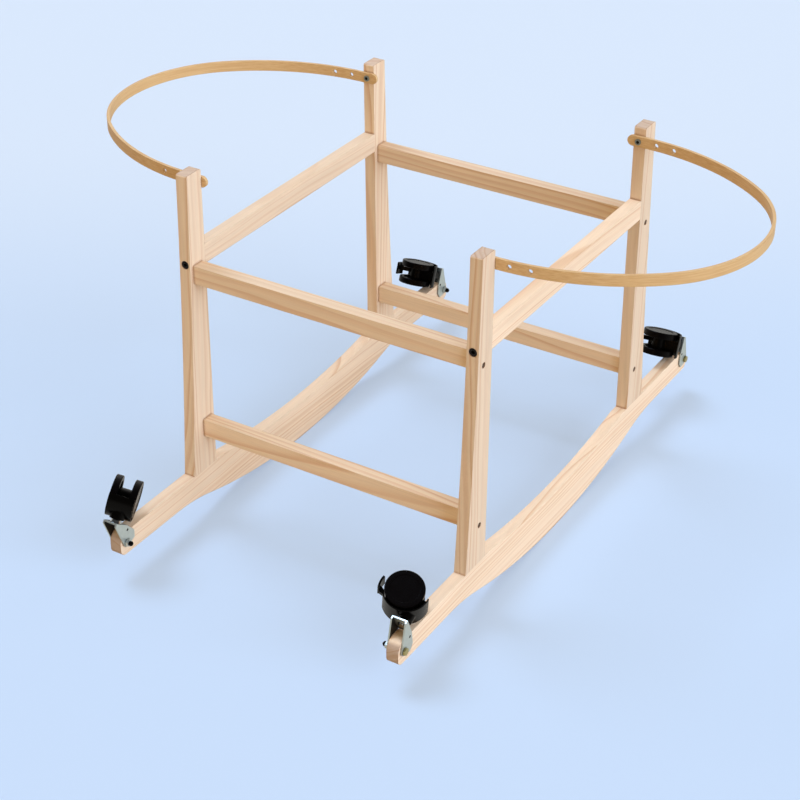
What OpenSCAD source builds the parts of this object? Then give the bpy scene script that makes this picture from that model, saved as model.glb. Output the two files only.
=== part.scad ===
// Rocking stand for a moses basket. Two side frames stand on long curved
// rockers and are tied by four cross rails. A bent hoop at each side swings up
// to steady the basket. A twin-wheel castor at each rocker end folds over the
// end and under the rocker, which turns the rocker into a trolley.
// Millimetres, Z up. The origin lies on the floor midway between the frames.

/* [Stand] */
// Width over the outer faces of the two side frames
frame_w = 420; // [380:5:460]
// Height of the post tops above the floor
stand_h = 486; // [450:1:520]
// Thickness of the boards of a side frame
board_t = 16; // [16:1:20]

/* [Posts] */
// Distance over the outer faces of the front and back posts at their tops
post_span = 444; // [420:2:470]
// Width of a post at its top
post_top_w = 28; // [26:1:34]
// How far the outer edge sweeps out from the top to the foot
post_flare = 23.2; // [15:0.2:30]
// Hollow of the outer edge, measured from a straight line
post_hollow = 3.5; // [1:0.1:6]
// How far the inner face leans out from the top to the foot
post_lean = 4; // [0:0.5:8]
// Radius of the eased corners on a post top
post_top_r = 2.5; // [1:0.5:5]

/* [Rockers] */
// Length of a rocker from end to end
rocker_l = 797.6; // [760:0.4:840]
// Height of the flat top where the posts stand
rocker_top_z = 70; // [68:1:76]
// Height of the flat underside at the ends
rocker_toe_z = 37.5; // [36:0.5:39]
// Radius of the curved edge that rolls on the floor
belly_r = 830; // [780:10:900]
// Radius of the hollow curve between the belly and the flat end
toe_r = 252; // [220:2:290]
// Length of the shallow dip in the top edge
dip_l = 362; // [320:2:370]
// Depth of the dip in the top edge
dip_h = 15.5; // [8:0.5:18]
// Radius of the upper corner of a rocker end
end_top_r = 15; // [10:1:16]
// Radius of the lower corner of a rocker end
end_low_r = 9; // [6:1:12]

/* [Rails] */
// Height of the underside of the side rails
side_rail_z = 359.6; // [340:0.2:370]
// Depth of a side rail
side_rail_h = 26.1; // [24:0.1:30]
// Height of the underside of the upper cross rails
upper_rail_z = 341.8; // [322:0.2:343]
// Height of the underside of the lower cross rails
lower_rail_z = 120; // [100:2:150]
// Depth of a cross rail
cross_rail_h = 24.4; // [20:0.2:28]
// Thickness of a cross rail
cross_rail_t = 18; // [15:0.5:19]
// Distance of a cross rail behind the outer face of the post tops
cross_rail_set = 1.6; // [1:0.2:4]

/* [Hoops] */
// Reach of a hoop beyond the outer face of its side frame
hoop_reach = 238.6; // [225:0.2:260]
// Depth of the bent strip
hoop_h = 14; // [12:0.5:18]
// Thickness of the bent strip
hoop_t = 4; // [3:0.25:5]
// Outer radius of the tip of the hoop
hoop_tip_r = 168; // [160:1:175]
// Distance of the bolts that the hoops turn on below the post tops
hoop_drop = 18; // [12:1:40]
// Distance between the spare holes of a hoop arm
spare_pitch = 25; // [18:1:30]

/* [Castors] */
// Diameter of a castor wheel
wheel_d = 48; // [46:1:50]
// Width of a castor wheel
wheel_w = 9; // [8:0.5:10]
// Distance between the two wheels of a castor
wheel_gap = 16; // [14:0.5:18]
// Sideways distance from the swivel stem to the wheel axle
castor_trail = 15; // [14:0.5:17]
// Distance from the bracket to the wheel axle
castor_drop = 32.5; // [32.5:0.5:36]
// Thickness of the pressed bracket
bracket_t = 2; // [1.5:0.25:2.5]
// Distance of the bracket pivot from the rocker end
pivot_inset = 10.4; // [10:0.1:12]
// Distance of the bracket pivot above the flat underside of the rocker
pivot_rise = 18; // [17.5:0.1:19]

/* [Hidden] */
$fn = 96;

// Clearances. run is the gap round a turning pin, slack the gap beside a part
// that moves, and blend the overlap of two arcs that run into one another.
run = 0.05;
slack = 0.3;
blend = 0.03;

// Side frames
frame_x = frame_w / 2 - board_t / 2;
post_h = stand_h - rocker_top_z;
post_out = post_span / 2;
post_in = post_out - post_top_w;
cross_rail_y = post_out - cross_rail_set - cross_rail_t / 2;
cross_rail_l = frame_w - 2 * board_t;
rail_ease = 0.5;

// Rocker edge: the belly arc meets the toe arc where both slope by toe_a
toe_a = acos(1 - rocker_toe_z / (belly_r + toe_r));
toe_y = belly_r * sin(toe_a);
flat_y = (belly_r + toe_r) * sin(toe_a);
dip_r = (pow(dip_l / 2, 2) + pow(dip_h, 2)) / (2 * dip_h);

// Hoop plan: the arms run on past their bolts, and two side arcs tangent to
// them lead into one tip arc
hoop_z = stand_h - hoop_drop;
hoop_half = post_in - slack;
hoop_end = 15;
hoop_side_r = (pow(hoop_reach - hoop_tip_r, 2) + pow(hoop_half, 2) - pow(hoop_tip_r, 2))
    / (2 * (hoop_half - hoop_tip_r));
hoop_tail = frame_w / 2 - frame_x + hoop_end;

// Fasteners
m6_r = 3;
socket_head_r = 5;
socket_head_h = 6;
socket_key_r = 2.9;
socket_key_h = 3.5;
hoop_head_r = 4;
hoop_head_h = 1.6;
hoop_key_r = 2;
hoop_key_h = 1.1;
side_bolt_z = side_rail_z + 8;
side_bolt_bore_r = 5.6;
side_bolt_sink = 12;
side_bolt_wood = 24;
side_bolt_grip = 46;
barrel_r = 5;
barrel_l = 14;
barrel_in = 30;
insert_r = 4.5;
insert_l = 13;
screw_r = 2.2;
screw_head_r = 3.4;
screw_head_h = 3;
screw_key_r = 1.6;
screw_key_h = 2;
screw_bore_r = 3.7;
screw_drop = 6.5;
screw_y = cross_rail_y + 2.5;
screw_sink = 5;
screw_grip = 50;
dowel_r = 4;
dowel_l = 40;
dowel_pitch = 22;

// Bracket, drawn with the pivot at the origin and the web below it
pivot_y = rocker_l / 2 - pivot_inset;
pivot_z = rocker_toe_z + pivot_rise;
rivet_r = 5;
rivet_h = 1.2;
web_z = pivot_rise + rivet_h + slack;
web_near = 11;
web_far = 34;
stem_y = (web_near + web_far) / 2;
plate_in = board_t / 2 + slack;
plate_out = plate_in + bracket_t;
plate_eye_r = 6;
plate_tip = 4.5;
plate_heel = [-12, -8.5];
plate_hip = [-6.5, -17];
plate_hole = [8, -16];
plate_hole_r = 1.8;
web_face = web_z + bracket_t;

// Pivot bolt of the bracket, with a low head, and a cap over its end
pivot_r = 2.5;
hex_r = 5;
hex_h = 2.5;
nut_h = 3.5;
cap_r = 3.2;
cap_h = 4.5;
cap_bore = 2;
cap_dome = 1.5;
bolt_end = 1.5;
nut_face = plate_out + slack + nut_h;

// Swivel stem
stem_r = 4;
collar_r = 7.5;
stem_l = 24;

// Castor
wheel_r = wheel_d / 2;
wheel_y = wheel_gap / 2;
guard_in = wheel_r + 0.8;
guard_off = 2;
guard_t = 1.6;
guard_r = guard_in + guard_t;
// The collar ends, and the neck starts, just below the top of the guard
collar_h = castor_drop - guard_r - guard_off + blend;
guard_y = wheel_y + wheel_w - 0.5;
spine_y = wheel_y - slack;
neck_r = 9.5;
neck_end = 11;
hub_r = 9;
axle_r = 3;
guard_from = 46;
guard_to = 184;

// Wheel: a cup with a closed outer face, a hub and a heavy rim
rim_t = 6;
rim_edge = 1.2;
hub_t = 4;
skin_t = 1.8;
skin_in = 0.6;
web_in = 2;
axle_half = wheel_y + wheel_w - skin_in - skin_t - slack;

// Brake lever, hinged in two lugs at the trailing side of the hood
lever_a = 40;
lever_off = guard_in - 5.8;
lever_x = lever_off * cos(lever_a);
lever_z = lever_off * sin(lever_a);
lever_pin_r = 1.5;
lever_eye_r = 3.2;
lug_r = 5;
tongue_y = 3;
tongue_a = 24;
pedal_in = guard_r + 3;
pedal_r = pedal_in + 2.6;
pedal_y = 9;
pedal_from = -11;
pedal_to = 18;

// Rest positions for the corners in the order front left, front right, back
// left, back right. fold is the rise of the stem above the rocker, turn the
// swivel of the wheels, and both are drawn for the front right corner.
side = [-1, 1, -1, 1];
end = [-1, -1, 1, 1];
fold = [55.5, 22, 22, 22];
turn = [-62, 165, 0, 180];

// Half distance between the inner faces of the posts at height z
function post_in_y(z) = post_in + post_lean * (stand_h - z) / post_h;

// Point where a line from p touches a circle of radius r round the origin
function touch(p, r, way) =
    let (a = atan2(p[1], p[0]) + way * acos(r / norm(p))) [r * cos(a), r * sin(a)];

// Lays a plan drawn in y and z across the thickness of a side frame
module across(sx, t) {
    translate([sx * frame_x - t / 2, 0, 0])
        rotate([90, 0, 90])
            linear_extrude(height = t)
                children();
}

// Rod along X, centred on the given length
module rod_x(r, l) {
    rotate([0, 90, 0]) cylinder(r = r, h = l, center = true);
}

// Rod along Y, centred on the given length
module rod_y(r, l) {
    rotate([90, 0, 0]) cylinder(r = r, h = l, center = true);
}

// Waste outside a rounded corner: the corner points along sx and sy
module corner_waste(r, sx, sy) {
    translate([-sx * r, -sy * r])
        difference() {
            translate([sx > 0 ? 0 : -r - 1, sy > 0 ? 0 : -r - 1]) square(r + 1);
            circle(r = r);
        }
}

// Repeats its child at the four corners, drawn for the front right one
module each_corner() {
    for (i = [0 : 3]) corner(i) children();
}

// Moves its child from the front right corner to corner i
module corner(i) {
    mirror([side[i] < 0 ? 1 : 0, 0, 0])
        mirror([0, end[i] > 0 ? 1 : 0, 0])
            children();
}

// ---- Side frames ----

// Upright outline in y and z, for the post on the positive side
module post_outline() {
    foot_out = post_out + post_flare;
    chord = norm([post_flare, post_h]);
    sweep_r = chord * chord / (8 * post_hollow) + post_hollow / 2;
    off = sweep_r - post_hollow;
    difference() {
        polygon([
            [post_in, stand_h],
            [foot_out, stand_h],
            [foot_out, rocker_top_z],
            [post_in + post_lean, rocker_top_z]
        ]);
        translate([post_out + post_flare / 2 + off * post_h / chord,
                (stand_h + rocker_top_z) / 2 + off * post_flare / chord])
            circle(r = sweep_r, $fn = 5760);
        translate([post_out, stand_h]) corner_waste(post_top_r, 1, 1);
        translate([post_in, stand_h]) corner_waste(post_top_r, -1, 1);
    }
}

// Bores along Y for the bolt that draws the side rail against the post
module side_bolt_bores() {
    translate([0, -side_bolt_seat() - 2 * side_bolt_sink, side_bolt_z])
        rod_y(side_bolt_bore_r, 4 * side_bolt_sink);
    translate([0, -side_bolt_seat(), side_bolt_z]) rod_y(m6_r, 3 * post_top_w);
}

// Seat of the side rail bolt head, measured from the middle of the stand
function side_bolt_seat() = post_in_y(side_bolt_z) + side_bolt_wood;

module post(i) {
    color("burlywood")
        corner(i)
            difference() {
                mirror([0, 1, 0]) across(1, board_t) post_outline();
                translate([frame_x, 0, 0]) side_bolt_bores();
                // threaded insert of the hoop bolt
                translate([frame_x, -post_in_y(hoop_z) - insert_l / 2, hoop_z])
                    rod_y(insert_r, insert_l + 0.4);
                // sunk screws of the upper and lower cross rails
                cross_screw_bores();
                dowel_bores();
            }
}

// Waste of the sunk screws through a front right post
module cross_screw_bores() {
    for (z = [upper_rail_z, lower_rail_z]) {
        translate([frame_w / 2, -screw_y, screw_z(z)]) {
            rod_x(screw_bore_r, 2 * screw_sink);
            rod_x(screw_r, 2 * board_t + 1);
        }
    }
}

// Waste of the two dowels between a front right post and its rocker
module dowel_bores() {
    for (k = [0, 1]) {
        translate([frame_x, -dowel_y(k), rocker_top_z])
            cylinder(r = dowel_r, h = dowel_l, center = true);
    }
}

// Distance of dowel k from the middle of the stand
function dowel_y(k) = post_in + post_lean + 12 + k * dowel_pitch;

module rocker(sx) {
    color("wheat")
        difference() {
            across(sx, board_t) rocker_outline();
            for (m = [0, 1]) {
                mirror([sx < 0 ? 1 : 0, 0, 0])
                    mirror([0, m, 0]) {
                        dowel_bores();
                        translate([frame_x, -pivot_y, pivot_z]) rod_x(pivot_r, board_t + 2);
                    }
            }
        }
}

// Rocker outline in y and z: a board with the waste round its edges sawn away
module rocker_outline() {
    half = rocker_l / 2;
    difference() {
        translate([-half, 0]) square([2 * half, rocker_top_z]);
        difference() {
            translate([-toe_y, -1]) square([2 * toe_y, rocker_toe_z + 1]);
            translate([0, belly_r]) circle(r = belly_r, $fn = 1440);
        }
        for (m = [0, 1]) {
            mirror([m, 0]) {
                intersection() {
                    translate([flat_y, rocker_toe_z - toe_r]) circle(r = toe_r, $fn = 720);
                    translate([toe_y, -1]) square([half, rocker_toe_z + 1]);
                }
                translate([flat_y, -1]) square([half, rocker_toe_z + 1]);
                translate([half, rocker_top_z]) corner_waste(end_top_r, 1, 1);
                translate([half, rocker_toe_z]) corner_waste(end_low_r, 1, -1);
            }
        }
        translate([0, rocker_top_z - dip_h + dip_r]) circle(r = dip_r, $fn = 1440);
    }
}

// Side rail, cut at its ends to lie against the leaning posts, with the upper
// edge of each end eased so that a basket lies flat between them
module side_rail(sx) {
    low = post_in_y(side_rail_z);
    top_z = side_rail_z + side_rail_h;
    ease_z = top_z - rail_ease;
    high = post_in_y(ease_z);
    color("burlywood")
        difference() {
            across(sx, board_t)
                polygon([
                    [-low, side_rail_z],
                    [low, side_rail_z],
                    [high, ease_z],
                    [high - rail_ease, top_z],
                    [rail_ease - high, top_z],
                    [-high, ease_z]
                ]);
            for (m = [0, 1]) {
                mirror([0, m, 0]) {
                    translate([sx * frame_x, -low, side_bolt_z]) rod_y(m6_r, 2 * side_bolt_grip);
                    translate([sx * frame_x, barrel_in - low, side_rail_z - 1])
                        cylinder(r = barrel_r, h = side_bolt_z - side_rail_z + barrel_l / 2 + 1);
                }
            }
        }
}

module cross_rail(sy, z) {
    color("burlywood")
        difference() {
            translate([-cross_rail_l / 2, sy * cross_rail_y - cross_rail_t / 2, z])
                cube([cross_rail_l, cross_rail_t, cross_rail_h]);
            for (sx = [-1, 1]) {
                translate([sx * cross_rail_l / 2, sy * screw_y, screw_z(z)])
                    rod_x(screw_r, 2 * (screw_grip - board_t + screw_sink));
            }
        }
}

// ---- Joinery ----

module rocker_dowels() {
    color("tan")
        each_corner()
            for (k = [0, 1]) {
                translate([frame_x, -dowel_y(k), rocker_top_z])
                    cylinder(r = dowel_r, h = dowel_l, center = true);
            }
}

// Socket head screws with a hexagon recess, through the posts into barrel nuts
module side_rail_bolts() {
    color("dimgray")
        each_corner()
            translate([frame_x, -side_bolt_seat(), side_bolt_z])
                rotate([90, 0, 0])
                    socket_screw(
                        side_bolt_seat() - post_in_y(side_rail_z) + side_bolt_grip,
                        [socket_head_r, socket_head_h],
                        [socket_key_r, socket_key_h]
                    );
}

// Socket head screw standing on its head seat: the shank runs down. head and
// key are each the radius and height, or depth, of the head and its recess.
module socket_screw(l, head, key) {
    difference() {
        union() {
            cylinder(r = head[0], h = head[1]);
            translate([0, 0, -l]) cylinder(r = m6_r, h = l + head[1] / 4);
        }
        translate([0, 0, head[1] - key[1]]) cylinder(r = key[0], h = head[1], $fn = 6);
    }
}

module barrel_nuts() {
    color("silver")
        each_corner()
            translate([frame_x, barrel_in - post_in_y(side_rail_z), side_bolt_z])
                difference() {
                    cylinder(r = barrel_r, h = barrel_l, center = true);
                    rod_y(m6_r, 3 * barrel_r);
                }
}

// Height of the screws in a cross rail that stands on z, below its middle
function screw_z(z) = z + cross_rail_h / 2 - screw_drop;

// Sunk screws that hold the cross rails, with a hexagon recess in the head
module cross_rail_screws() {
    color("dimgray")
        each_corner()
            for (z = [upper_rail_z, lower_rail_z]) {
                translate([frame_w / 2 - screw_sink, -screw_y, screw_z(z)])
                    rotate([0, 90, 0])
                        difference() {
                            union() {
                                cylinder(r = screw_head_r, h = screw_head_h);
                                translate([0, 0, -screw_grip + screw_sink])
                                    cylinder(r = screw_r, h = screw_grip);
                            }
                            translate([0, 0, screw_head_h - screw_key_h])
                                cylinder(r = screw_key_r, h = screw_head_h, $fn = 6);
                        }
            }
}

// ---- Hoops ----

// Plan inside the hoop curve set in by d, from the frame outwards: straight
// arms, then a side arc on each hand, then the arc of the tip
module hoop_plan(d) {
    tip_x = hoop_reach - hoop_tip_r;
    meet_x = hoop_side_r * tip_x / (hoop_side_r - hoop_tip_r);
    intersection() {
        translate([-hoop_tail - d, d - hoop_half])
            square([hoop_tail + d + hoop_reach + 1, 2 * (hoop_half - d)]);
        disc_beyond(0, 0, hoop_half - hoop_side_r, hoop_side_r + blend - d);
        disc_beyond(0, 0, hoop_side_r - hoop_half, hoop_side_r + blend - d);
        disc_beyond(meet_x, tip_x, 0, hoop_tip_r + 2 * blend - d);
    }
}

// Disc round (cx, cy) and all that lies before from_x, so that it rounds a
// plan only beyond there. Each disc stands out past the last by the blend.
module disc_beyond(from_x, cx, cy, r) {
    translate([cx, cy]) circle(r = r, $fn = 720);
    translate([from_x - 2 * hoop_reach, -hoop_reach]) square([2 * hoop_reach, 2 * hoop_reach]);
}

// Bent strip, drawn for the right side and mirrored for the left
module hoop(m) {
    end_r = hoop_h / 2 + blend;
    color("peru")
        mirror([m, 0, 0])
            difference() {
                translate([frame_w / 2, 0, hoop_z - hoop_h / 2])
                    linear_extrude(height = hoop_h)
                        difference() {
                            hoop_plan(0);
                            hoop_plan(hoop_t);
                        }
                // round ends of the arms
                translate([frame_w / 2 - hoop_tail, 0, hoop_z])
                    difference() {
                        translate([-hoop_h, -2 * hoop_half, -hoop_h])
                            cube([hoop_h + end_r, 4 * hoop_half, 2 * hoop_h]);
                        translate([end_r, 0, 0]) rod_y(end_r, 5 * hoop_half);
                    }
                translate([frame_x, 0, hoop_z]) rod_y(m6_r + run, 3 * hoop_half);
                for (k = [1, 2]) {
                    translate([frame_x + k * spare_pitch, 0, hoop_z]) rod_y(m6_r, 3 * hoop_half);
                }
            }
}

module hoop_bolts() {
    color("dimgray")
        each_corner()
            translate([frame_x, hoop_t + slack - hoop_half, hoop_z])
                rotate([-90, 0, 0])
                    socket_screw(
                        hoop_t + 2 * slack + insert_l,
                        [hoop_head_r, hoop_head_h],
                        [hoop_key_r, hoop_key_h]
                    );
}

module hoop_inserts() {
    color("silver")
        each_corner()
            translate([frame_x, -post_in_y(hoop_z) - insert_l / 2, hoop_z])
                difference() {
                    rod_y(insert_r, insert_l);
                    rod_y(m6_r, insert_l + 1);
                }
}

// ---- Castor brackets ----

// Puts its child, drawn round the pivot, at corner i in its rest position
module on_pivot(i) {
    corner(i)
        translate([frame_x, -pivot_y, pivot_z])
            rotate([90 + fold[i], 0, 0])
                children();
}

module bracket(i) {
    color("gainsboro")
        on_pivot(i)
            difference() {
                translate([-plate_out, 0, 0])
                    rotate([90, 0, 90])
                        linear_extrude(height = 2 * plate_out)
                            plate_outline();
                // room for the rocker between the plates, above and beside the web
                translate([-plate_in, -2 * web_far, -web_z]) cube([2 * plate_in, 4 * web_far, 2 * web_far]);
                translate([-plate_in, web_near - 2 * web_far, -2 * web_far])
                    cube([2 * plate_in, 2 * web_far, 3 * web_far]);
                rod_x(pivot_r + run, 3 * plate_out);
                translate([0, plate_hole[0], plate_hole[1]]) rod_x(plate_hole_r, 3 * plate_out);
                translate([0, stem_y, -web_face]) cylinder(r = stem_r, h = 4 * bracket_t, center = true);
            }
}

// Side plate of the bracket: a fan from the pivot eye to the web. The edges
// leave the eye a trace inside its tangents, so that they cross it cleanly.
module plate_outline() {
    tip = [web_far, plate_tip - web_face];
    circle(r = plate_eye_r);
    polygon([
        touch(tip, plate_eye_r - blend, 1),
        touch(plate_heel, plate_eye_r - blend, -1),
        plate_heel,
        plate_hip,
        [web_near, -web_face],
        [web_far, -web_face],
        tip
    ]);
}

module pivot_bolts() {
    color("darkkhaki")
        each_corner()
            translate([frame_x, -pivot_y, pivot_z])
                rotate([0, 90, 0]) {
                    translate([0, 0, plate_out + slack]) cylinder(r = hex_r, h = hex_h, $fn = 6);
                    translate([0, 0, -nut_face - bolt_end])
                        cylinder(r = pivot_r, h = nut_face + bolt_end + plate_out + slack + hex_h / 2);
                }
}

module pivot_nuts() {
    color("silver")
        each_corner()
            translate([frame_x - nut_face, -pivot_y, pivot_z])
                rotate([0, 90, 0])
                    difference() {
                        cylinder(r = hex_r, h = nut_h, $fn = 6);
                        translate([0, 0, -1]) cylinder(r = pivot_r, h = nut_h + 2);
                    }
}

// Domed caps on the bolt ends
module nut_caps() {
    color("black")
        each_corner()
            translate([frame_x - nut_face, -pivot_y, pivot_z])
                rotate([0, -90, 0])
                    difference() {
                        union() {
                            cylinder(r = cap_r, h = cap_h - cap_dome);
                            translate([0, 0, cap_h - cap_dome])
                                cylinder(r1 = cap_r, r2 = cap_r - cap_dome, h = cap_dome);
                        }
                        translate([0, 0, -1]) cylinder(r = pivot_r, h = cap_bore + 1);
                    }
}

// ---- Castors, drawn below the bracket with the wheels trailing along X ----

// Puts its child, drawn round the stem, on the web of bracket i
module on_stem(i) {
    on_pivot(i) translate([0, stem_y, -web_face]) children();
}

// Turns its child about the stem into the rest position of castor i
module swivelled(i) {
    on_stem(i) rotate([0, 0, turn[i]]) children();
}

module stem(i) {
    color("lightgray")
        on_stem(i) {
            translate([0, 0, bracket_t]) cylinder(r1 = rivet_r, r2 = rivet_r - 1, h = rivet_h);
            translate([0, 0, -collar_h]) cylinder(r1 = collar_r - 1, r2 = collar_r, h = collar_h);
            translate([0, 0, -stem_l]) cylinder(r = stem_r, h = stem_l + bracket_t + rivet_h / 2);
        }
}

// Moves to the axle, with Y along it
module at_axle() {
    translate([castor_trail, 0, -castor_drop]) children();
}

// Wedge in x and z round the axle between two angles, out to at least far / 2
module sector(far, a1, a2) {
    mid = (a1 + a2) / 2;
    rotate([90, 0, 0])
        linear_extrude(height = 3 * guard_r, center = true)
            polygon([
                [0, 0],
                [far * cos(a1), far * sin(a1)],
                [far * cos((a1 + mid) / 2), far * sin((a1 + mid) / 2)],
                [far * cos(mid), far * sin(mid)],
                [far * cos((a2 + mid) / 2), far * sin((a2 + mid) / 2)],
                [far * cos(a2), far * sin(a2)]
            ]);
}

// Shell round both wheels, set off centre towards the leading side
module guard_ring() {
    translate([-guard_off, 0, 0])
        difference() {
            rod_y(guard_r + guard_off, 2 * guard_y);
            rod_y(guard_in + guard_off, 3 * guard_y);
        }
}

// Moulded hood: a neck on the stem, a spine between the wheels, a guard over
// their treads and two lugs for the brake lever
module hood(i) {
    color("#222222")
        swivelled(i)
            difference() {
                union() {
                    translate([0, 0, -neck_end])
                        cylinder(r = neck_r, h = neck_end - collar_h - slack);
                    intersection() {
                        translate([0, 0, -castor_drop]) cylinder(r = neck_r, h = castor_drop - neck_end);
                        cube([4 * neck_r, 2 * spine_y, 4 * castor_drop], center = true);
                    }
                    at_axle() {
                        rod_y(hub_r, 2 * spine_y);
                        intersection() {
                            translate([-guard_off, 0, 0]) rod_y(guard_r + guard_off, 2 * spine_y);
                            sector(2 * guard_r, guard_from, guard_to);
                        }
                        intersection() {
                            guard_ring();
                            sector(2 * guard_r, guard_from, guard_to);
                        }
                        translate([lever_x, 0, lever_z]) rod_y(lug_r, 2 * spine_y);
                    }
                }
                translate([0, 0, -stem_l - slack]) cylinder(r = stem_r + run, h = stem_l);
                at_axle() {
                    rod_y(axle_r, 3 * spine_y);
                    translate([lever_x, 0, lever_z]) {
                        rod_y(lever_pin_r, 3 * spine_y);
                        rotate([0, lever_a - guard_from, 0])
                            translate([-lug_r - 0.4, -tongue_y - slack, -3 * lug_r])
                                cube([3 * lug_r, 2 * (tongue_y + slack), 3 * lug_r + 3.5]);
                    }
                }
            }
}

module axle(i) {
    color("silver")
        swivelled(i)
            at_axle()
                rod_y(axle_r, 2 * axle_half);
}

// One wheel: s is 1 for the wheel on the positive side of the hood
module wheel(i, s) {
    color("#181818")
        swivelled(i)
            at_axle()
                mirror([0, s < 0 ? 1 : 0, 0])
                    translate([0, wheel_y, 0])
                        rotate([-90, 0, 0])
                            rotate_extrude()
                                wheel_section();
}

// Wheel section in radius and width, from the inner face outwards
module wheel_section() {
    bore = axle_r + run;
    rim_in = wheel_r - rim_t;
    skin_y = wheel_w - skin_in - skin_t;
    translate([bore, 0]) square([hub_t, wheel_w - skin_in]);
    translate([bore, web_in]) square([rim_in - axle_r, wheel_w - skin_in - web_in]);
    translate([0, skin_y]) square([rim_in, skin_t]);
    translate([rim_in, 0]) square([rim_t - rim_edge, wheel_w]);
    translate([rim_in, rim_edge]) square([rim_t, wheel_w - 2 * rim_edge]);
    for (w = [rim_edge, wheel_w - rim_edge]) {
        translate([wheel_r - rim_edge, w]) circle(r = rim_edge);
    }
}

// Lever: an eye on its pin, a tongue between the wheels and a curved pedal
module brake_lever(i) {
    color("#2c2c2c")
        swivelled(i)
            at_axle()
                difference() {
                    union() {
                        translate([lever_x, 0, lever_z]) rod_y(lever_eye_r, 2 * tongue_y);
                        rotate([90, 0, 0])
                            linear_extrude(height = 2 * tongue_y, center = true)
                                tongue();
                        intersection() {
                            difference() {
                                rod_y(pedal_r, 2 * pedal_y);
                                rod_y(pedal_in, 3 * pedal_y);
                            }
                            sector(2 * pedal_r, pedal_from, pedal_to);
                        }
                    }
                    translate([lever_x, 0, lever_z]) rod_y(lever_pin_r + run, 3 * pedal_y);
                }
}

// Tongue outline in x and z, from beside the pin to the root of the pedal
module tongue() {
    root = (pedal_in + pedal_r) / 2;
    side = lever_eye_r - blend;
    polygon([
        [lever_x + side * cos(lever_a + 90), lever_z + side * sin(lever_a + 90)],
        [lever_x - side * cos(lever_a + 90), lever_z - side * sin(lever_a + 90)],
        [root * cos(pedal_to - 11), root * sin(pedal_to - 11)],
        [root * cos(pedal_to - 1), root * sin(pedal_to - 1)],
        [pedal_in * cos(tongue_a), pedal_in * sin(tongue_a)]
    ]);
}

module lever_pin(i) {
    color("silver")
        swivelled(i)
            at_axle()
                translate([lever_x, 0, lever_z])
                    rod_y(lever_pin_r, 2 * spine_y);
}

post(0);  // post_front_left
post(1);  // post_front_right
post(2);  // post_back_left
post(3);  // post_back_right
rocker(-1);  // rocker_left
rocker(1);  // rocker_right
side_rail(-1);  // side_rail_left
side_rail(1);  // side_rail_right
cross_rail(-1, upper_rail_z);  // upper_rail_front
cross_rail(1, upper_rail_z);  // upper_rail_back
cross_rail(-1, lower_rail_z);  // lower_rail_front
cross_rail(1, lower_rail_z);  // lower_rail_back
rocker_dowels();
side_rail_bolts();
barrel_nuts();
cross_rail_screws();
hoop(1);  // hoop_left
hoop(0);  // hoop_right
hoop_bolts();
hoop_inserts();
pivot_bolts();
pivot_nuts();
nut_caps();
bracket(0);  // front_left_bracket
stem(0);  // front_left_stem
hood(0);  // front_left_hood
axle(0);  // front_left_axle
wheel(0, -1);  // front_left_wheel_inner
wheel(0, 1);  // front_left_wheel_outer
brake_lever(0);  // front_left_brake_lever
lever_pin(0);  // front_left_lever_pin
bracket(1);  // front_right_bracket
stem(1);  // front_right_stem
hood(1);  // front_right_hood
axle(1);  // front_right_axle
wheel(1, -1);  // front_right_wheel_inner
wheel(1, 1);  // front_right_wheel_outer
brake_lever(1);  // front_right_brake_lever
lever_pin(1);  // front_right_lever_pin
bracket(2);  // back_left_bracket
stem(2);  // back_left_stem
hood(2);  // back_left_hood
axle(2);  // back_left_axle
wheel(2, -1);  // back_left_wheel_inner
wheel(2, 1);  // back_left_wheel_outer
brake_lever(2);  // back_left_brake_lever
lever_pin(2);  // back_left_lever_pin
bracket(3);  // back_right_bracket
stem(3);  // back_right_stem
hood(3);  // back_right_hood
axle(3);  // back_right_axle
wheel(3, -1);  // back_right_wheel_inner
wheel(3, 1);  // back_right_wheel_outer
brake_lever(3);  // back_right_brake_lever
lever_pin(3);  // back_right_lever_pin
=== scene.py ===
import math

import bpy
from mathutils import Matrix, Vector


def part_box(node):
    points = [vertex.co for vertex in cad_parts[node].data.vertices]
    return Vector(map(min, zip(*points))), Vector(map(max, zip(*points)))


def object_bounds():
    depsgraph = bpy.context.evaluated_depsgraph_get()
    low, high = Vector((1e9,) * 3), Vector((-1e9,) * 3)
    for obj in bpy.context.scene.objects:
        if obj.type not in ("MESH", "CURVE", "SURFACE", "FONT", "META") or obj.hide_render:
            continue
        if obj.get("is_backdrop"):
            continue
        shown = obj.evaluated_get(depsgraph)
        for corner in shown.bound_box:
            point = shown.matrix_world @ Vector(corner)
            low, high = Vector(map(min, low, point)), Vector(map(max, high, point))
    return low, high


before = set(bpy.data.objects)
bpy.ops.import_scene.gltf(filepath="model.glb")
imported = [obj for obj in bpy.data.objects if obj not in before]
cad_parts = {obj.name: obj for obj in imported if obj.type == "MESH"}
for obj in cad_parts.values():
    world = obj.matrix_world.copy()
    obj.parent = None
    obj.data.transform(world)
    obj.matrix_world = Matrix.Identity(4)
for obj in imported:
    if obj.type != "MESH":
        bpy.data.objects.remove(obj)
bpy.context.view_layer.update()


# Rockers: two planed radiata pine boards with a curved belly and raised flat
# ends, under a thin clear lacquer. Each board comes from its own part of a log,
# so its rings run on round its corners and show as arches where the saw cut flat.
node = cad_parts
MM = 0.001


def linear(hex_colour):
    """A colour written as sRGB hex, as the linear RGBA that sockets hold."""
    channels = [int(hex_colour[i : i + 2], 16) / 255 for i in (0, 2, 4)]
    return [c / 12.92 if c <= 0.04045 else ((c + 0.055) / 1.055) ** 2.4 for c in channels] + [1]


def marks(*sizes):
    """Pattern scales, to two figures, for marks of these sizes in millimetres."""
    return [float(f"{1000 / size:.2g}") for size in sizes]


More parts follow.
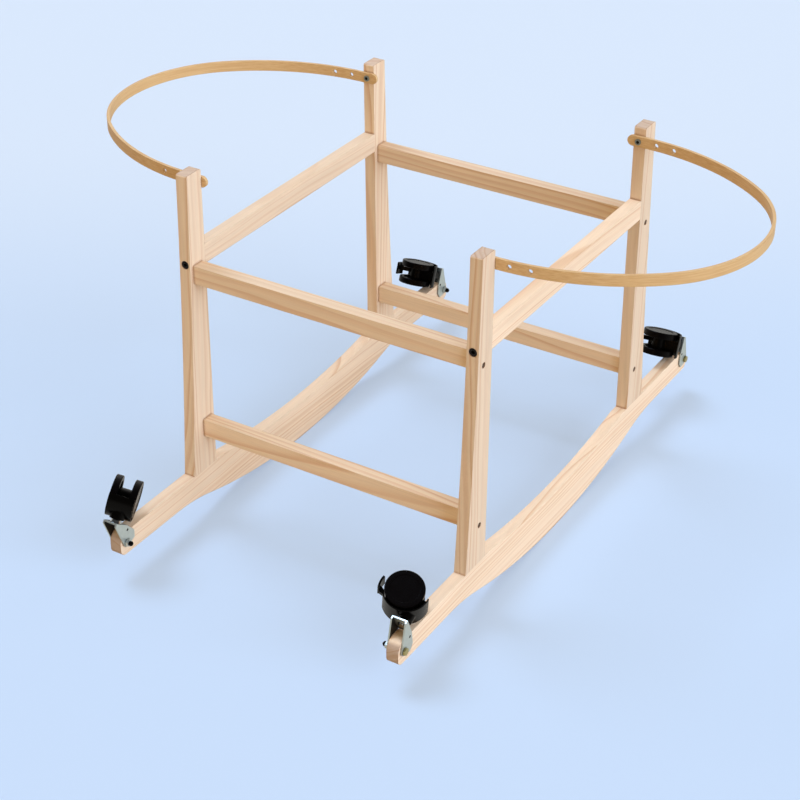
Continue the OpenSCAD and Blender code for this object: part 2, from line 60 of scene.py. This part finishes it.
def add(tree, kind, inputs=None, **settings):
    """Adds one shader node. Each input is a value, or the output that feeds it."""
    made = tree.nodes.new("ShaderNode" + kind)
    for name, value in settings.items():
        setattr(made, name, value)
    for name, value in (inputs or {}).items():
        if isinstance(value, bpy.types.NodeSocket):
            tree.links.new(made.inputs[name], value)
        else:
            made.inputs[name].default_value = value
    return made


def fresh(name):
    """A new material without nodes, and its tree."""
    material = bpy.data.materials.new(name)
    material.use_nodes = True
    material.node_tree.nodes.clear()
    return material, material.node_tree


def coat(name, material):
    """Gives a CAD node its material, in place of the plain one it came with."""
    node[name].data.materials.clear()
    node[name].data.materials.append(material)


EARLY_WOOD, LATE_WOOD = linear("EFD7B8"), linear("DAB086")
# Brown of lacquer in the joints, also the colour of the painted shade in corners
JOINT_STAIN_AND_SHADE = linear("AB7C55")
RING_GAP = 6 * MM


def pine(name, turn, log, tone, end_tint):
    """Plain-sawn pine: pale silky wood with soft rings, satin under its lacquer.

    turn brings the length of the board onto X. log puts the heart of its tree at
    the origin, in metres, tone is how light the board is beside its neighbours,
    and end_tint colours its cut ends, and on the rockers it also paints shade there.
    """
    material, tree = fresh(name)
    place = add(tree, "TexCoord").outputs["Object"]
    board = add(tree, "Mapping", {"Vector": place, "Rotation": turn, "Location": log}).outputs[0]

    # The trunk wanders up to 15 mm either way, and that bends the rings
    wander = 30 * MM
    slow = add(tree, "VectorMath", {0: board, 1: marks(455, 111, 111)}, operation="MULTIPLY")
    path = add(tree, "TexNoise", {"Vector": slow.outputs[0], "Scale": 1.0, "Detail": 2.0,
                                  "Roughness": 0.45})
    shift = add(tree, "VectorMath", {0: path.outputs["Color"], 1: (0.5, 0.5, 0.5)},
                operation="SUBTRACT")
    sway = add(tree, "VectorMath", {0: shift.outputs[0], "Scale": wander}, operation="SCALE")
    bent = add(tree, "VectorMath", {0: board, 1: sway.outputs[0]}, operation="ADD")
    taper = 0.035
    trunk = add(tree, "VectorMath", {0: bent.outputs[0], 1: (taper, 1, 1)}, operation="MULTIPLY")
    radius = add(tree, "VectorMath", {0: trunk.outputs[0]}, operation="LENGTH")

    # Rings are wide in wet years and narrow in dry ones. Pale early wood darkens
    # slowly through the season and stops short, in some years hardly at all.
    count = add(tree, "Math", {0: radius.outputs["Value"], 1: RING_GAP}, operation="DIVIDE")
    rain = add(tree, "TexNoise", {"W": count.outputs[0], "Scale": 0.45, "Detail": 1.0},
               noise_dimensions="1D")
    rain_swing = 2.6
    age = add(tree, "Math", {0: rain.outputs["Fac"], 1: rain_swing, 2: count.outputs[0]},
              operation="MULTIPLY_ADD")
    season = add(tree, "Math", {0: age.outputs[0]}, operation="FRACT")
    year = add(tree, "Math", {0: age.outputs[0]}, operation="FLOOR")
    late = add(tree, "ValToRGB", {"Fac": season.outputs[0]})
    late.color_ramp.interpolation = "EASE"
    spring, autumn = late.color_ramp.elements
    spring.position, spring.color = 0.25, (0, 0, 0, 1)
    autumn.position, autumn.color = 0.84, (1, 1, 1, 1)
    late.color_ramp.elements.new(0.99).color = (0, 0, 0, 1)
    weather = add(tree, "TexWhiteNoise", {"W": year.outputs[0]}, noise_dimensions="1D")
    depth = add(tree, "MapRange", {"Value": weather.outputs["Value"], "To Min": 0.12,
                                   "To Max": 0.86})
    ring = add(tree, "Math", {0: late.outputs["Color"], 1: depth.outputs[0]}, operation="MULTIPLY")
    wood = add(tree, "Mix", {"Factor": ring.outputs[0], 6: EARLY_WOOD, 7: LATE_WOOD},
               data_type="RGBA")

    # Fibres 0.7 mm thick in streaks 5 mm wide. Real fibres are finer, and these
    # are as coarse as they need to be to show.
    fine = add(tree, "VectorMath", {0: bent.outputs[0], 1: marks(71, 0.67, 0.67)},
               operation="MULTIPLY")
    fibre = add(tree, "TexNoise", {"Vector": fine.outputs[0], "Scale": 1.0, "Detail": 3.0,
                                   "Roughness": 0.6})
    broad = add(tree, "VectorMath", {0: bent.outputs[0], 1: marks(200, 4.8, 4.8)},
                operation="MULTIPLY")
    streak = add(tree, "TexNoise", {"Vector": broad.outputs[0], "Scale": 1.0, "Detail": 3.0,
                                    "Roughness": 0.65})
    grain = add(tree, "Math", {0: fibre.outputs["Fac"], 1: streak.outputs["Fac"]},
                operation="ADD")
    shade = add(tree, "MapRange", {"Value": grain.outputs[0], "From Min": 0.6, "From Max": 1.4,
                                   "To Min": 0.90 * tone, "To Max": 1.08 * tone})

    # Cut ends drink the lacquer and turn darker than the sides. On the rockers the end
    # tint also paints the shade that the brackets and castors cast on the ends.
    facing = add(tree, "TexCoord").outputs["Normal"]
    faced = add(tree, "Mapping", {"Vector": facing, "Rotation": turn}, vector_type="NORMAL")
    lengthwise = add(tree, "SeparateXYZ", {"Vector": faced.outputs[0]}).outputs["X"]
    either_end = add(tree, "Math", {0: lengthwise}, operation="ABSOLUTE")
    ends = add(tree, "MapRange", {"Value": either_end.outputs[0], "From Min": 0.55,
                                  "From Max": 0.80})
    cut = add(tree, "Mix", {"Factor": ends.outputs[0], 6: (1, 1, 1, 1), 7: linear(end_tint)},
              data_type="RGBA")
    tint = add(tree, "VectorMath", {0: wood.outputs[2], 1: cut.outputs[2]}, operation="MULTIPLY")
    colour = add(tree, "VectorMath", {0: tint.outputs[0], "Scale": shade.outputs[0]},
                 operation="SCALE")

    # Lacquer gathers brown along the edges of the cut ends and in the joints, and
    # ambient occlusion paints shade in the same brown into corners and close gaps between parts.
    face = add(tree, "NewGeometry").outputs["Normal"]
    wide = add(tree, "Bevel", {"Radius": 3 * MM})
    same = add(tree, "VectorMath", {0: wide.outputs[0], 1: face}, operation="DOT_PRODUCT")
    edge = add(tree, "MapRange", {"Value": same.outputs["Value"], "From Min": 0.75,
                                  "From Max": 0.99, "To Min": 0.25, "To Max": 1.0})
    rim = add(tree, "Mix", {0: ends.outputs[0], 2: 1.0, 3: edge.outputs[0]})
    # Painted shade: surfaces within 5 mm of other surfaces turn toward the joint brown
    corner_occlusion = add(tree, "AmbientOcclusion", {"Distance": 5 * MM}, samples=8)
    joint_and_corner_shade = add(tree, "MapRange", {"Value": corner_occlusion.outputs["AO"], "From Min": 0.35,
                                   "From Max": 0.85})
    unstained_unshaded = add(tree, "Math", {0: joint_and_corner_shade.outputs[0], 1: rim.outputs[0]}, operation="MULTIPLY")
    stained_and_shaded = add(tree, "Mix", {"Factor": unstained_unshaded.outputs[0], 6: JOINT_STAIN_AND_SHADE, 7: colour.outputs[0]},
                  data_type="RGBA")

    # The edges are eased by hand, and the late wood stands a little proud
    relief = add(tree, "Math", {0: fibre.outputs["Fac"], 1: ring.outputs[0]}, operation="ADD")
    eased = add(tree, "Bevel", {"Radius": 0.9 * MM})
    bump = add(tree, "Bump", {"Height": relief.outputs[0], "Normal": eased.outputs[0],
                              "Strength": 0.12, "Distance": 0.3 * MM})
    shader = add(tree, "BsdfPrincipled", {"Base Color": stained_and_shaded.outputs[2], "Roughness": 0.5,
                                          "Normal": bump.outputs[0], "IOR": 1.5,
                                          "Specular IOR Level": 0.3})
    add(tree, "OutputMaterial", {"Surface": shader.outputs[0]})
    return material


# The turn that brings a board lying along Y onto X, and the tint of the rocker ends.
# End grain takes more lacquer, and the further grey darkening is painted shade
# from the brackets and castors over the ends.
ALONG_Y = (0, 0, -math.pi / 2)
ROCKER_END_GRAIN_AND_SHADE = "C8C6CC"
for name, log, tone in (
    ("rocker_left", (0.10, -0.23, 0.05), 1.02),
    ("rocker_right", (0.55, 0.24, 0.03), 1.09),
):
    coat(name, pine("lacquered_pine_" + name, ALONG_Y, log, tone, ROCKER_END_GRAIN_AND_SHADE))

# Rocker dowels: turned beech pegs that hold the feet of the posts on the
# rockers. Glued in their holes they are out of sight, so the grain of the
# boards serves for them too.
ALONG_Z = (0, math.pi / 2, 0)
SANDED_END = "E6E4EA"
coat("rocker_dowels", pine("beech_dowel", ALONG_Z, (0.2, 0.1, 0.1), 0.9, SANDED_END))

# Posts: four upright pine boards that stand on the rockers, with the outer edge
# swept out to a wide foot. Their tops are sanded, so they stay nearly as pale
# as the faces.
for name, log, tone in (
    ("post_front_left", (0.30, 0.17, -0.24), 0.96),
    ("post_front_right", (0.90, 0.18, 0.26), 0.93),
    ("post_back_left", (1.50, -0.26, -0.23), 1.01),
    ("post_back_right", (2.20, -0.27, 0.22), 0.92),
):
    coat(name, pine("lacquered_pine_" + name, ALONG_Z, log, tone, SANDED_END))

# Side rails: a pine rail between the posts of each side frame. A long bolt
# through each post draws it up against the post.
for name, log, tone in (
    ("side_rail_left", (1.20, -0.27, 0.02), 0.98),
    ("side_rail_right", (2.10, 0.28, -0.01), 1.12),
):
    coat(name, pine("lacquered_pine_" + name, ALONG_Y, log, tone, SANDED_END))


# Side rail bolts and barrel nuts: black-oxide socket bolts, their heads just
# below the face of the post, and zinc-plated barrel nuts inside the rails.
def plated(name, colour, roughness, metallic, painted_shade=None):
    """Plated steel: a thin coat on drawn or pressed metal, so faintly mottled.

    The last argument, if given, makes an output that is 1 where shade is painted on
    the plating, darkening its colour and with it its reflection.
    """
    material, tree = fresh(name)
    place = add(tree, "TexCoord").outputs["Object"]
    (blotch,) = marks(6.25)
    cloud = add(tree, "TexNoise", {"Vector": place, "Scale": blotch, "Detail": 3.0})
    mottle = add(tree, "MapRange", {"Value": cloud.outputs["Fac"], "To Min": roughness * 0.8,
                                    "To Max": roughness * 1.25})
    shade = add(tree, "MapRange", {"Value": cloud.outputs["Fac"], "To Min": 0.88, "To Max": 1.08})
    light = shade.outputs[0]
    # Painted shade: where the mask is 1 the plating's colour falls to 5 %
    if painted_shade:
        left = add(tree, "MapRange", {"Value": painted_shade(tree, place), "To Min": 1.0, "To Max": 0.05})
        light = add(tree, "Math", {0: light, 1: left.outputs[0]}, operation="MULTIPLY").outputs[0]
    tint = add(tree, "VectorMath", {0: linear(colour)[:3], "Scale": light}, operation="SCALE")
    rounded = add(tree, "Bevel", {"Radius": 0.4 * MM})
    shader = add(tree, "BsdfPrincipled", {"Base Color": tint.outputs[0], "Metallic": metallic,
                                          "Roughness": mottle.outputs[0],
                                          "Normal": rounded.outputs[0]})
    add(tree, "OutputMaterial", {"Surface": shader.outputs[0]})
    return material


# Black oxide is thin and oiled, so it hardly shines. Bright zinc is a pale,
# cool metal with a soft gloss.
black_oxide = plated("black_oxide_steel", "15110F", roughness=0.5, metallic=0.3)
bright_zinc = plated("bright_zinc_plate", "D2DBD6", roughness=0.30, metallic=0.7)
coat("side_rail_bolts", black_oxide)
coat("barrel_nuts", bright_zinc)

# Cross rails: four straight pine rails that hold the two side frames apart,
# butted square against the posts.
ALONG_X = (0, 0, 0)
for name, log, tone in (
    ("upper_rail_front", (0.40, 0.27, -0.33), 1.0),
    ("upper_rail_back", (1.10, -0.15, -0.31), 0.96),
    ("lower_rail_front", (1.90, 0.26, -0.15), 1.05),
    ("lower_rail_back", (2.70, -0.16, -0.10), 1.0),
):
    coat(name, pine("lacquered_pine_" + name, ALONG_X, log, tone, SANDED_END))

# Cross rail screws: small bronzed steel screws through the posts into the ends
# of the cross rails, sunk below the wood. Their brown coat is dull.
bronzed = plated("bronzed_steel", "6E5743", roughness=0.5, metallic=0.5)
coat("cross_rail_screws", bronzed)


# Hoops: strips of ash bent hot round a former, lacquered like the boards but a
# warmer tan, with their long edges rounded over.
def bent_ash(name, side):
    """Steam-bent ash: close straight grain, satin, that goes round with the strip."""
    material, tree = fresh(name)
    place = add(tree, "TexCoord").outputs["Object"]

    # The strip is unrolled round a point this far out from the ends of its arms
    bend_out = 105 * MM
    middle = side * (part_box("hoop_right")[0].x + bend_out)
    centred = add(tree, "Mapping", {"Vector": place, "Location": (-middle, 0, 0)}).outputs[0]
    split = add(tree, "SeparateXYZ", {"Vector": centred})
    angle = add(tree, "Math", {0: split.outputs["Y"], 1: split.outputs["X"]}, operation="ARCTAN2")
    away = add(tree, "CombineXYZ", {"X": split.outputs["X"], "Y": split.outputs["Y"]})
    radius = add(tree, "VectorMath", {0: away.outputs[0]}, operation="LENGTH")
    unrolled = add(tree, "CombineXYZ", {"X": angle.outputs[0], "Y": radius.outputs["Value"],
                                        "Z": split.outputs["Z"]})

    # Pores run this share of a radian along the bend, 3.3 mm into the strip and
    # 1.1 mm across its face
    pore_turn = 0.4
    pores = add(tree, "VectorMath", {0: unrolled.outputs[0], 1: (1 / pore_turn, *marks(3.3, 1.11))},
                operation="MULTIPLY")
    grain = add(tree, "TexNoise", {"Vector": pores.outputs[0], "Scale": 1.0, "Detail": 4.0,
                                   "Roughness": 0.6})
    colour = add(tree, "ValToRGB", {"Fac": grain.outputs["Fac"]})
    tan, cream = colour.color_ramp.elements
    tan.position, tan.color = 0.3, linear("CBA068")
    cream.position, cream.color = 0.7, linear("E0BF8A")
    rounded = add(tree, "Bevel", {"Radius": 0.6 * MM})
    bump = add(tree, "Bump", {"Height": grain.outputs["Fac"], "Normal": rounded.outputs[0],
                              "Strength": 0.1, "Distance": 0.3 * MM})
    shader = add(tree, "BsdfPrincipled", {"Base Color": colour.outputs[0], "Roughness": 0.45,
                                          "Normal": bump.outputs[0], "IOR": 1.5})
    add(tree, "OutputMaterial", {"Surface": shader.outputs[0]})
    return material


for name, side in (("hoop_left", -1), ("hoop_right", 1)):
    coat(name, bent_ash("bent_ash_" + name, side))

# Hoop bolts and inserts: zinc-plated bolts with low round heads that the hoops
# turn on, in threaded inserts in the posts. The shade down in the hexagon keys
# of their heads is painted, as a dark diffuse fill inside the key's radius.
hoop_zinc = plated("zinc_plate_hoop_bolt", "8C9187", roughness=0.35, metallic=0.7)
tree = hoop_zinc.node_tree
head_radius, key_radius = 4 * MM, 2.1 * MM
low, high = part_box("hoop_bolts")
axis = (high.x - head_radius, 0, (low.z + high.z) / 2)
place = add(tree, "TexCoord").outputs["Object"]
any_bolt = add(tree, "VectorMath", {0: place}, operation="ABSOLUTE")
centred = add(tree, "VectorMath", {0: any_bolt.outputs[0], 1: axis}, operation="SUBTRACT")
endwise = add(tree, "VectorMath", {0: centred.outputs[0], 1: (1, 0, 1)}, operation="MULTIPLY")
off_axis = add(tree, "VectorMath", {0: endwise.outputs[0]}, operation="LENGTH")
key = add(tree, "Math", {0: off_axis.outputs["Value"], 1: key_radius}, operation="LESS_THAN")
# Painted shade: inside the key's radius the head is a dark diffuse fill
painted_key_shade = add(tree, "BsdfDiffuse", {"Color": linear("1C1A19")})
ending = next(item for item in tree.nodes if item.bl_idname == "ShaderNodeOutputMaterial")
surface = ending.inputs["Surface"]
key_shaded = add(tree, "MixShader", {0: key.outputs[0], 1: surface.links[0].from_socket,
                                2: painted_key_shade.outputs[0]})
tree.links.new(surface, key_shaded.outputs[0])
coat("hoop_bolts", hoop_zinc)
coat("hoop_inserts", bright_zinc)


# Castor brackets: 2 mm steel pressed to a U, then zinc plated. They swing on
# their bolts over the ends of the rockers and carry the stems in their webs.
def bracket_shade(tree, place):
    """1 on the inner faces of the side plates and down in the folds, where shade is painted on the
    zinc.
    """
    sheet = 2 * MM
    low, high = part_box("front_right_bracket")
    rocker_x = (low.x + high.x) / 2
    inner_face = (high.x - low.x) / 2 - sheet
    either_side = add(tree, "VectorMath", {0: place}, operation="ABSOLUTE")
    across = add(tree, "SeparateXYZ", {"Vector": either_side.outputs[0]}).outputs["X"]
    off_middle = add(tree, "Math", {0: across, 1: rocker_x}, operation="SUBTRACT")
    apart = add(tree, "Math", {0: off_middle.outputs[0]}, operation="ABSOLUTE")
    inner = add(tree, "MapRange", {"Value": apart.outputs[0], "From Min": inner_face + 0.8 * MM,
                                   "From Max": inner_face + 0.3 * MM})
    facing = add(tree, "TexCoord").outputs["Normal"]
    crosswise = add(tree, "SeparateXYZ", {"Vector": facing}).outputs["X"]
    sideways = add(tree, "Math", {0: crosswise}, operation="ABSOLUTE")
    cheek = add(tree, "Math", {0: sideways.outputs[0], 1: inner.outputs[0]}, operation="MULTIPLY")
    folds = add(tree, "AmbientOcclusion", {"Distance": 12 * MM}, samples=8)
    shut = add(tree, "MapRange", {"Value": folds.outputs["AO"], "From Min": 0.85,
                                  "From Max": 0.35})
    inside = add(tree, "Math", {0: cheek.outputs[0], 1: shut.outputs[0]}, operation="MAXIMUM")
    return inside.outputs[0]


CORNERS = ("front_left", "front_right", "back_left", "back_right")
# The inner faces of the side plates and the folds get painted shade
bracket_zinc = plated("zinc_plate_pressed_bracket", "CBD6D0", roughness=0.32, metallic=0.7,
                      painted_shade=bracket_shade)
for corner in CORNERS:
    coat(corner + "_bracket", bracket_zinc)

# Pivot bolts and nuts: hexagon bolts through bracket and rocker, in yellow
# passivated zinc, which is a dull gold, and bright zinc nuts on their inner ends.
yellow_zinc = plated("yellow_zinc_plate", "B6AC72", roughness=0.30, metallic=0.7)
coat("pivot_bolts", yellow_zinc)
coat("pivot_nuts", bright_zinc)

# Castor stems: turned steel pins with a collar that the hood turns on and a
# rivet head that holds them in the bracket. Chrome gives them a clear mirror.
chrome = plated("chromed_steel", "D8DDDE", roughness=0.12, metallic=1.0)
for corner in CORNERS:
    coat(corner + "_stem", chrome)


# Castor hoods, brake levers and nut caps: moulded black nylon, with a fine
# spark-eroded grain. The domed caps are pressed on the ends of the pivot bolts.
def nylon(name, colour, roughness):
    """Moulded nylon: near black, with a satin grain that spreads its gloss."""
    material, tree = fresh(name)
    place = add(tree, "TexCoord").outputs["Object"]
    grain, blotch = marks(0.71, 16.7)
    grit = add(tree, "TexNoise", {"Vector": place, "Scale": grain, "Detail": 2.0})
    cloud = add(tree, "TexNoise", {"Vector": place, "Scale": blotch, "Detail": 2.0})
    gloss = add(tree, "MapRange", {"Value": cloud.outputs["Fac"], "To Min": roughness - 0.06,
                                   "To Max": roughness + 0.08})
    moulded = add(tree, "Bevel", {"Radius": 0.5 * MM})
    bump = add(tree, "Bump", {"Height": grit.outputs["Fac"], "Normal": moulded.outputs[0],
                              "Strength": 0.15, "Distance": 0.1 * MM})
    shader = add(tree, "BsdfPrincipled", {"Base Color": linear(colour), "IOR": 1.5,
                                          "Specular IOR Level": 0.1,
                                          "Roughness": gloss.outputs[0],
                                          "Normal": bump.outputs[0]})
    add(tree, "OutputMaterial", {"Surface": shader.outputs[0]})
    return material


hood_nylon = nylon("moulded_nylon_hood", "050403", roughness=0.24)
for corner in CORNERS:
    coat(corner + "_hood", hood_nylon)
    coat(corner + "_brake_lever", hood_nylon)
coat("nut_caps", hood_nylon)

# Castor wheels, axles and lever pins: two nylon wheels on each castor, a shade
# duller than the hoods, run on a plated axle pressed through the hood. The
# lever turns on a plated pin.
wheel_nylon = nylon("moulded_nylon_wheel", "060404", roughness=0.26)
for corner in CORNERS:
    coat(corner + "_wheel_inner", wheel_nylon)
    coat(corner + "_wheel_outer", wheel_nylon)
    coat(corner + "_axle", bright_zinc)
    coat(corner + "_lever_pin", bright_zinc)


# Studio: a seamless pale blue floor under broad soft light, lit so that a
# colour renders about as it is written, and a camera at standing height.
AZIMUTH, ELEVATION = math.radians(31.6), math.radians(31.7)
reach = 30.0
floor_mesh = bpy.data.meshes.new("floor")
floor_mesh.from_pydata([(-reach, -reach, 0), (reach, -reach, 0), (reach, reach, 0),
                        (-reach, reach, 0)], [], [(0, 1, 2, 3)])
floor = bpy.data.objects.new("floor", floor_mesh)
bpy.context.collection.objects.link(floor)

# The floor pales with distance. Two fifths of its brightness is a glow of its
# own, so that shadows stay faint.
material, tree = fresh("studio_floor")
place = add(tree, "TexCoord").outputs["Object"]
turned = add(tree, "Mapping", {"Vector": place, "Rotation": (0, 0, -AZIMUTH)}).outputs[0]
distance = add(tree, "SeparateXYZ", {"Vector": turned}).outputs["Y"]
fade = add(tree, "MapRange", {"Value": distance, "From Min": 0.15, "From Max": 1.15},
           interpolation_type="SMOOTHSTEP")
blue = add(tree, "Mix", {"Factor": fade.outputs[0], 6: linear("CBE0FD"), 7: linear("DAE9FE")},
           data_type="RGBA")
lamplit = add(tree, "VectorMath", {0: blue.outputs[2], 1: (0.558, 0.562, 0.526)},
              operation="MULTIPLY")
paper = add(tree, "BsdfDiffuse", {"Color": lamplit.outputs[0]})
glow = add(tree, "Emission", {"Color": blue.outputs[2], "Strength": 0.42})
sheet = add(tree, "AddShader", {0: paper.outputs[0], 1: glow.outputs[0]})

# To the object it is a warm surface, and gloss mirrors it as a plain pale grey
warm = add(tree, "BsdfDiffuse", {"Color": (0.42, 0.30, 0.16, 1)})
grey = add(tree, "Emission", {"Color": (0.60, 0.59, 0.56, 1)})
ray = add(tree, "LightPath")
unseen_floor = add(tree, "MixShader", {0: ray.outputs["Is Glossy Ray"], 1: warm.outputs[0],
                                       2: grey.outputs[0]})
whole_floor = add(tree, "MixShader", {0: ray.outputs["Is Camera Ray"],
                                      1: unseen_floor.outputs[0], 2: sheet.outputs[0]})
add(tree, "OutputMaterial", {"Surface": whole_floor.outputs[0]})
floor_mesh.materials.append(material)
floor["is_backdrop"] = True

# The world gives a warm light and shows as a pale blue backdrop. Gloss mirrors
# a pale grey wall on the far side, and a dark room on the near one.
world = bpy.data.worlds.new("studio")
bpy.context.scene.world = world
world.use_nodes = True
tree = world.node_tree
tree.nodes.clear()
lit = add(tree, "Background", {"Color": (0.56, 0.445, 0.31, 1)})
way = add(tree, "TexCoord").outputs["Generated"]
far_way = (-math.sin(AZIMUTH), math.cos(AZIMUTH), 0)
ahead = add(tree, "VectorMath", {0: way, 1: far_way}, operation="DOT_PRODUCT")
far_side = add(tree, "MapRange", {"Value": ahead.outputs["Value"], "From Min": -0.1,
                                  "From Max": 0.7}, interpolation_type="SMOOTHSTEP")
room = add(tree, "Mix", {"Factor": far_side.outputs[0], 6: (0.05, 0.05, 0.05, 1),
                         7: (0.80, 0.78, 0.77, 1)}, data_type="RGBA")
mirrored = add(tree, "Background", {"Color": room.outputs[2]})
backdrop = add(tree, "Background", {"Color": linear("DBEAFF")})
ray = add(tree, "LightPath")
unseen_world = add(tree, "MixShader", {0: ray.outputs["Is Glossy Ray"], 1: lit.outputs[0],
                                       2: mirrored.outputs[0]})
whole_world = add(tree, "MixShader", {0: ray.outputs["Is Camera Ray"],
                                      1: unseen_world.outputs[0], 2: backdrop.outputs[0]})
add(tree, "OutputWorld", {"Surface": whole_world.outputs[0]})


def sun(name, towards, strength, spread, colour):
    """A soft lamp far away that shines along a direction, spread in degrees."""
    light = bpy.data.lights.new(name, "SUN")
    light.energy = strength
    light.color = colour
    light.angle = math.radians(spread)
    lamp = bpy.data.objects.new(name, light)
    lamp.rotation_euler = Vector(towards).to_track_quat("-Z", "Y").to_euler()
    bpy.context.collection.objects.link(lamp)
    return lamp


# The key lamp from above and the side lamp are blue because the world and the
# floor light warmly, and together they come out about white. The rim lamp, from
# behind, gives highlights alone.
sun("key", (0.50, -0.05, -1.0), strength=1.46, spread=26, colour=(0.58, 0.73, 1.0))
side_lamp = sun("side", (-1.0, 0.15, -0.30), strength=3.82, spread=60, colour=(0.61, 0.745, 1.0))
side_lamp.visible_glossy = False
front_lamp = sun("front", (0.0, 1.0, -0.25), strength=0.33, spread=50, colour=(1.0, 0.66, 0.33))
front_lamp.visible_glossy = False
rim_lamp = sun("rim", (0.446, -0.725, -0.525), strength=0.14, spread=24, colour=(1.0, 1.0, 1.0))
rim_lamp.visible_diffuse = False

# The camera stands 2.1 m off and 1.4 m up, with a long lens
camera = bpy.data.objects.new("camera", bpy.data.cameras.new("camera"))
bpy.context.collection.objects.link(camera)
look = Vector((-math.sin(AZIMUTH) * math.cos(ELEVATION), math.cos(AZIMUTH) * math.cos(ELEVATION),
               -math.sin(ELEVATION)))
camera.location = (1.077, -1.804, 1.4185)
camera.rotation_euler = look.to_track_quat("-Z", "Y").to_euler()
camera.data.lens = 83.56
camera.data.sensor_width = 36
camera.data.clip_end = 50
bpy.context.scene.camera = camera
bpy.context.scene.view_settings.view_transform = "Standard"

low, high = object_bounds()
